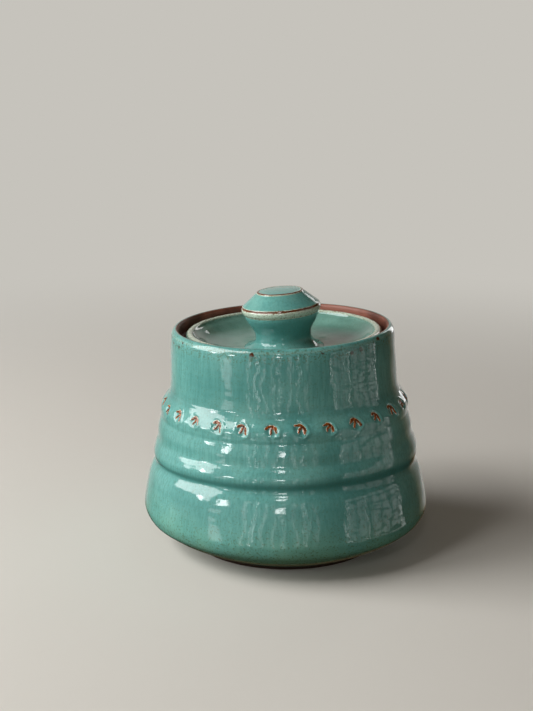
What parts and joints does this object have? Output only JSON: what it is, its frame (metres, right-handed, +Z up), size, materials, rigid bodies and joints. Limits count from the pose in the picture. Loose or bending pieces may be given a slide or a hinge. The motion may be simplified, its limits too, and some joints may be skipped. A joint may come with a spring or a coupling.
{
  "type": "lidded stoneware jar",
  "caption": "Squat glazed stoneware jar with a wide belly, a straight neck, a band of stamped marks and a sunken lid with a turned knob.",
  "frame": {"origin": "middle of the foot ring, on the surface the jar stands on", "axes": "+Z up through the jar, -Y towards the viewer of the picture, +X to the right; the neck, lid and knob lean 1.5 degrees towards -X"},
  "size_m": [0.1134, 0.1134, 0.1017],
  "materials": {
    "jar_glaze": "glossy copper green glaze, brown where it breaks",
    "lid_glaze": "glossy copper green glaze",
    "knob_glaze": "glossy copper green glaze, brown where it breaks"
  },
  "bodies": {
    "jar_body": {"jar": "jar_glaze"},
    "lid_body": {"lid": "lid_glaze", "lid_knob": "knob_glaze"}
  },
  "joints": [
    {"name": "lid_lift", "type": "slide", "parent": "jar_body", "child": "lid_body", "axis": [-0.0262, 0, 0.9997], "range_m": [0, 0.06]}
  ]
}
